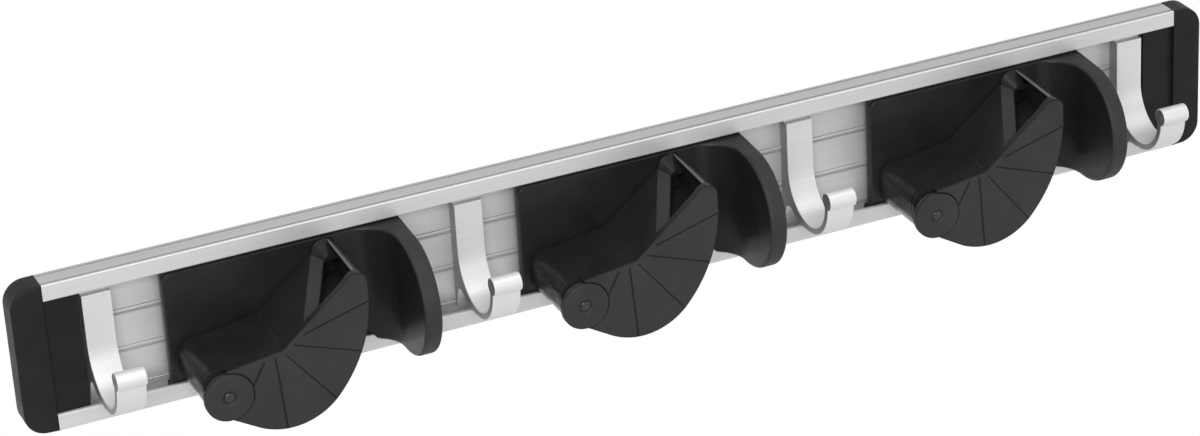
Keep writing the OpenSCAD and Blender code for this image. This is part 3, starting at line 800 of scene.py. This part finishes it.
def leftArm():
    # The left arm and the hub's cover. Each ring is the outline at its own depth, because the
    # valley slides along the arm; a narrow gap parts the collar behind the disc from the rest.
    s = camShape
    plateBack = s["front"] - s["plate"]
    drop = s["roof"] / np.cos(np.radians(s["slope"]))
    hubStart, hubEnd, innerEnd, hubInner = 186, -81, -300, s["bore"] + 1

    def outline(depth):
        c = camLines((plateBack - depth) / (plateBack - s["back"]))
        shoulder = np.array([s["shoulderLeft"] + s["shoulder"], c["leftTop"][1] - s["shoulder"]])
        return cleanLoop(np.concatenate([
            c["crease"], [c["leftTop"]],
            arcPoints(shoulder, s["shoulder"], 90, 180, 14),
            arcPoints(c["pivot"], s["hub"], hubStart, 360 + hubEnd, 20),
            arcPoints(c["pivot"], hubInner, hubEnd, innerEnd, 20),
            [c["leftTop"] - (0, drop), c["valley"] - (0, drop),
             c["valley"] + c["armWay"] * 0.5 - c["armUp"] * s["roof"]],
        ]))

    collarBack = plateBack - s["collar"]
    gap = s["collarGap"]
    path = edgePath(s["back"], plateBack, s["backEdge"], 0, 4)
    path[-1:] = [(0, collarBack - gap), (-gap, collarBack - gap), (-gap, collarBack),
                 (0, collarBack), (0, plateBack)]
    rings = []
    for inset, depth in path:
        loop = outline(depth)
        # the gap is cut on the hub's left and lower side, and fades out towards the arm
        onHub = np.clip((s["pivot"][0] - 1.5 - loop[:, :1]) / 3, 0, 1)
        onHub = np.where(loop[:, 1:] < s["pivot"][1] - 3, 1.0, onHub)
        rings.append(facing(shrink(loop, inset if inset >= 0 else -inset * onHub), depth))
    points, faces, finishes = stackRings(rings)
    # the crease of the valley and the outside of the hub are polished
    c = camLines()
    for number, face in enumerate(faces):
        middle = points[face].mean(axis=0)
        away = (plateBack + middle[1]) / (plateBack - s["back"])
        crease = camLines(away)["crease"].mean(axis=0)
        fromPivot = middle[[0, 2]] - c["pivot"]
        onHub = abs(np.linalg.norm(fromPivot) - s["hub"]) < 0.4 and np.max(fromPivot) < 4
        if onHub or np.linalg.norm(middle[[0, 2]] - crease) < 0.45:
            finishes[number] = 3
    return points, faces, finishes


def rightArm():
    # The right arm's roof: outlines in (run along the arm, depth), each at its height below the
    # arm's top. The pocket's sloping side falls from the second outline to the third.
    s = camShape
    c = camLines()
    plateBack = s["front"] - s["plate"]
    overlap = 0.6
    share = np.array([0, 0.03, 0.06, 0.1, 0.153, 1.0])
    upper = np.stack([s["pocketEnd"] + (s["pocketStart"] - s["pocketEnd"]) * share,
                      s["back"] + (plateBack - s["back"]) * share], 1)
    lower = upper + (s["slopeWide"], 0)
    ledge = np.array([*s["pocketMouth"], lower[4], lower[5]])
    start = np.array([(-overlap, plateBack), (-overlap, s["back"])])

    def armRing(edge, height):
        loop = np.concatenate([start, edge])
        place = c["valley"] + loop[:, :1] * c["armWay"] + height * c["armUp"]
        return np.stack([place[:, 0], -loop[:, 1], place[:, 1]], 1)

    # two further outlines, a little way down and a little way up the side, soften its bends
    low, soft, topIn, lowIn = -s["slopeDeep"], 0.08, 0.25, 0.2
    rings = [armRing(upper, 0), armRing(upper + (topIn, 0), -soft), armRing(lower - (lowIn, 0), low + soft),
             armRing(lower, low), armRing(ledge, low), armRing(ledge, -s["roof"])]
    return stackRings(rings, finish=[0, 1, 0, 0, 0])


def earSolid():
    # The ear behind the tip: an arch (cx + r cos a, cz + r sin a) at the back, drawn together
    # towards the front to the foot of the pocket's rear side.
    s = camShape
    c = camLines()
    steps = 30
    angle = np.linspace(0, 180, steps + 1)
    centre = np.array([c["faceX"] - s["ear"], c["tipCentre"][1]])
    across = np.linspace(-1, 1, 8)[1:-1]
    left, top, low, base = 2.3, 0.2, 1.4, 1.6
    footX = np.interp(angle, [0, 90, 180], [centre[0] + s["ear"] - s["rim"], centre[0], centre[0] - left])
    footZ = np.interp(angle, [0, 110, 180], [centre[1] + top, centre[1] + top, centre[1] - low])
    rings = []
    for inset, further in ((0.4, 0), (0.1, 0.1), (0, 0.35), (0.05, 0.6), (0.3, 0.8)):
        radius = s["ear"] - inset
        floor = np.stack([centre[0] + across * radius, np.full(len(across), centre[1] - s["earDrop"])], 1)
        arch = np.concatenate([centre + polar(angle, radius), floor])
        rings.append(facing(arch, s["back"] + further))
    foot = np.concatenate([np.stack([footX, footZ], 1),
                           np.stack([np.interp(across, [-1, 1], [footX[-1], footX[0]]),
                                     np.full(len(across), centre[1] - base)], 1)])
    rings.append(facing(foot, s["earFoot"]))
    return stackRings(rings)


def curvedWall():
    # A small cross-section carried along the fan, the face and round the tip. Each of its
    # points runs on the line of its own depth, because the rim widens towards the back.
    s = camShape
    plateBack = s["front"] - s["plate"]
    back = s["back"]
    half = s["rim"] / 2
    turn = np.radians([20, 40, 60, 80])
    across = []
    outside = [(0, plateBack), (0, back + 0.5), (0.06, back + 0.25), (0.2, back + 0.06), (0.45, back)]
    for inward, depth in outside + [(None, back), (None, plateBack)]:
        c = camLines((plateBack - depth) / (plateBack - back))
        line = np.concatenate([c["toHub"], c["fan"], c["face"], c["rim"]])
        way = unit(np.gradient(line, axis=0))
        normal = np.stack([way[:, 1], -way[:, 0]], 1)
        thick = np.interp(line[:, 1], s["thinning"], [s["shell"], s["rim"]])[:, None]
        edge = line - normal * (thick if inward is None else inward)
        # the rim's end is half round: it goes on by r sin a while each side comes in by r (1 - cos a)
        middle = line[-1] - normal[-1] * half
        sine, cosine = np.sin(turn)[:, None], np.cos(turn)[:, None]
        end = middle + way[-1] * half * sine + (edge[-1] - middle) * cosine
        across.append(facing(np.concatenate([edge, end]), depth))
    # the rim's rounded end gets the lighter grey of the painted highlight
    finish = [0] * (len(edge) - 2) + [2] * (len(turn) + 1)
    return stackRings(np.array(across).transpose(1, 0, 2), finish=finish)


def camRibs():
    # ribs inside, behind the grooves, from the roof to the curved wall or the hub
    s = camShape
    c = camLines()
    plateBack, fromEdge = s["front"] - s["plate"], 0.6
    edge = np.concatenate([c["toHub"], c["fan"], c["face"], c["tip"][:3]])
    ribs = []
    for number, ray in enumerate(s["rays"]):
        angle, offset = ray[:2]
        along, across = polar(angle), polar(angle + 90)
        centre = c["valley"] + across * offset
        start = rayStart(c, centre, along)
        reach, side = (edge - centre) @ along, (edge - centre) @ across
        ahead = reach > 0
        far = s["rayLong"] if number == 0 else np.interp(0, side[ahead], reach[ahead]) - fromEdge
        half = s["rib"] / 2
        sides = ((start, -half), (far, -half), (far, half), (start, half))
        corners = np.array([centre + along * t + across * w for t, w in sides])
        ribs.append(prism(cleanLoop(corners), [(0, s["ribBack"]), (0, plateBack)]))
    return ribs


def camArms():
    s = camShape
    plateBack = s["front"] - s["plate"]
    barrel = lathe([(s["bore"], s["back"] + 0.4), (s["bore"] + 0.4, s["back"]), (s["hub"] - 1, s["back"]),
                    (s["hub"] - 0.6, s["back"] + 0.8), (s["hub"] - 0.6, plateBack), (s["bore"], plateBack)],
                   np.array(s["pivot"]), 64, True)
    return [leftArm(), barrel, rightArm(), earSolid(), curvedWall(), *camRibs()]


# Pivots

pivotShape = {"disc": 9.4, "discEdge": 0.5, "discBack": 40.6, "discFront": 43.2, "washer": 9.1,
              "washerBack": 39.7, "washerFront": 40.5, "axle": 3.0, "axleBack": 2.4, "axleFront": 41.9,
              "dimple": 2.8, "dimpleDeep": 0.8, "dome": 2.0, "domeHigh": 0.7}


def discSolid():
    # a ring-shaped dimple with a dome (d cos b, h sin b) standing in it
    s = pivotShape
    a = np.radians(np.linspace(0, 90, 6))
    b = np.radians(np.linspace(0, 90, 7))
    edge, front, back = s["discEdge"], s["discFront"], s["discBack"]
    floor = front - s["dimpleDeep"]
    rim = np.stack([s["disc"] - edge + edge * np.cos(a), front - edge + edge * np.sin(a)], 1)
    dome = np.stack([s["dome"] * np.cos(b), floor + s["domeHigh"] * np.sin(b)], 1)
    flat = [(0, back), (s["disc"] - 0.3, back), (s["disc"], back + 0.3), *rim,
            (s["dimple"] + 0.3, front), (s["dimple"], front - 0.25), (s["dome"] + 0.3, floor)]
    finish = [0] * len(flat) + [1] * (len(dome) - 1)
    return lathe([*flat, *dome], np.array(camShape["pivot"]), 72, finish=finish)


def washerSolid():
    s = pivotShape
    bevel, hole, radius = 0.15, s["axle"] + 0.1, s["washer"]
    back, front = s["washerBack"], s["washerFront"]
    profile = [(hole, back), (radius - bevel, back), (radius, back + bevel),
               (radius, front - bevel), (radius - bevel, front), (hole, front)]
    return lathe(profile, np.array(camShape["pivot"]), 64, True)


def axleSolid():
    s = pivotShape
    bevel, radius, back, front = 0.4, s["axle"], s["axleBack"], s["axleFront"]
    profile = [(radius - bevel, back), (radius, back + bevel),
               (radius, front - bevel), (radius - bevel, front)]
    return lathe(profile, np.array(camShape["pivot"]), 40)


camFinishes = [armFinish, fanFinish, rimHighlightFinish, hubFinish]
for number, name in enumerate(holderNames, 1):
    parts = [
        ("base", baseSolids(), [baseFinish, fanFinish], "holder_plastic", name),
        ("axle", [axleSolid()], [axleFinish], "axle_steel", name),
        ("cam", camPlate() + camArms(), camFinishes, "cam_plastic", f"cam_{number}"),
        ("washer", [washerSolid()], [washerFinish], "washer_steel", name),
        ("disc", [discSolid()], [fanFinish, hubFinish], "cam_plastic", name),
    ]
    for part, solids, finishes, slot, body in parts:
        node = f"{name}_{part}"
        placed = [moved(solid, holderLeft[name]) for solid in solids]
        addPiece(node + "_body", placed, finishes, body, node)
print("holders ready")


# Camera

view = {"azimuth": 22.71, "elevation": 26.51, "roll": -3.42, "distance": 1.5088,
        "target": (-0.01352, 0.0, -0.00386), "lens": 117.15, "sensor": 36.0}


def addCamera():
    azimuth, elevation, roll = np.radians([view["azimuth"], view["elevation"], view["roll"]])
    level = np.array([-np.sin(azimuth), -np.cos(azimuth), 0]) * np.cos(elevation)
    back = level + (0, 0, np.sin(elevation))
    right = unit(np.cross(-back, (0, 0, 1)))
    up = np.cross(back, right)
    turnedRight = right * np.cos(roll) + up * np.sin(roll)
    turnedUp = -right * np.sin(roll) + up * np.cos(roll)
    place = np.array(view["target"]) + back * view["distance"]
    matrix = np.eye(4)
    matrix[:3, 0], matrix[:3, 1], matrix[:3, 2], matrix[:3, 3] = turnedRight, turnedUp, back, place
    camera = bpy.data.objects.new("camera", bpy.data.cameras.new("camera"))
    camera.data.lens = view["lens"]
    camera.data.sensor_width = view["sensor"]
    camera.matrix_world = Matrix(matrix.tolist())
    bpy.context.scene.collection.objects.link(camera)
    bpy.context.scene.camera = camera


addCamera()


# Light, world and floor

lamps = {
    "key": {"at": (-0.9, -1.9, 1.1), "to": (0, 0, 0), "wide": 1.4, "high": 1.0, "power": 34},
    "top": {"at": (0.1, -0.5, 1.5), "to": (0, 0, 0), "wide": 1.8, "high": 0.7, "power": 9},
    "side": {"at": (1.7, -1.4, 0.2), "to": (0, 0, 0), "wide": 0.8, "high": 0.8, "power": 4},
}


def addLamps():
    for name, s in lamps.items():
        data = bpy.data.lights.new(name, "AREA")
        data.shape = "RECTANGLE"
        data.size, data.size_y, data.energy = s["wide"], s["high"], s["power"]
        lamp = bpy.data.objects.new(name, data)
        lamp.location = s["at"]
        lamp.rotation_euler = (Vector(s["to"]) - Vector(s["at"])).to_track_quat("-Z", "Y").to_euler()
        bpy.context.scene.collection.objects.link(lamp)


def cameraWhite(tree, shade, output):
    # camera, mirror and transmission rays see white, and all others the plain shade
    rays = tree.nodes.new("ShaderNodeLightPath")
    glow = "ShaderNodeBackground" if output.type == "OUTPUT_WORLD" else "ShaderNodeEmission"
    white = tree.nodes.new(glow)
    white.inputs["Color"].default_value = (1, 1, 1, 1)
    white.inputs["Strength"].default_value = 1.0
    glossy, clear = tree.nodes.new("ShaderNodeMath"), tree.nodes.new("ShaderNodeMath")
    glossy.operation = clear.operation = "MAXIMUM"
    mix = tree.nodes.new("ShaderNodeMixShader")
    tree.links.new(rays.outputs["Is Camera Ray"], glossy.inputs[0])
    tree.links.new(rays.outputs["Is Glossy Ray"], glossy.inputs[1])
    tree.links.new(glossy.outputs["Value"], clear.inputs[0])
    tree.links.new(rays.outputs["Is Transmission Ray"], clear.inputs[1])
    tree.links.new(clear.outputs["Value"], mix.inputs["Fac"])
    tree.links.new(shade, mix.inputs[1])
    tree.links.new(white.outputs[0], mix.inputs[2])
    tree.links.new(mix.outputs["Shader"], output.inputs["Surface"])


def addWorld():
    world = bpy.data.worlds.new("studio")
    world.use_nodes = True
    bpy.context.scene.world = world
    tree = world.node_tree
    shade = tree.nodes["Background"]
    shade.inputs["Color"].default_value = (1, 1, 1, 1)
    shade.inputs["Strength"].default_value = 0.35
    cameraWhite(tree, shade.outputs["Background"], tree.nodes["World Output"])


def addFloor():
    size, level = 6.0, -0.4
    corners = [(-size, -size, level), (size, -size, level), (size, size, level), (-size, size, level)]
    mesh = bpy.data.meshes.new("floor")
    mesh.from_pydata(corners, [], [(0, 1, 2, 3)])
    floor = bpy.data.objects.new("floor", mesh)
    bpy.context.scene.collection.objects.link(floor)
    material, tree, shader = newFinish("paleFloor")
    setSockets(shader, Base_Color=(0.9, 0.9, 0.9, 1), Roughness=0.9)
    cameraWhite(tree, shader.outputs["BSDF"], tree.nodes["Material Output"])
    mesh.materials.append(material)


addLamps()
addWorld()
addFloor()
bpy.context.scene.view_settings.view_transform = "Standard"
print("studio ready")
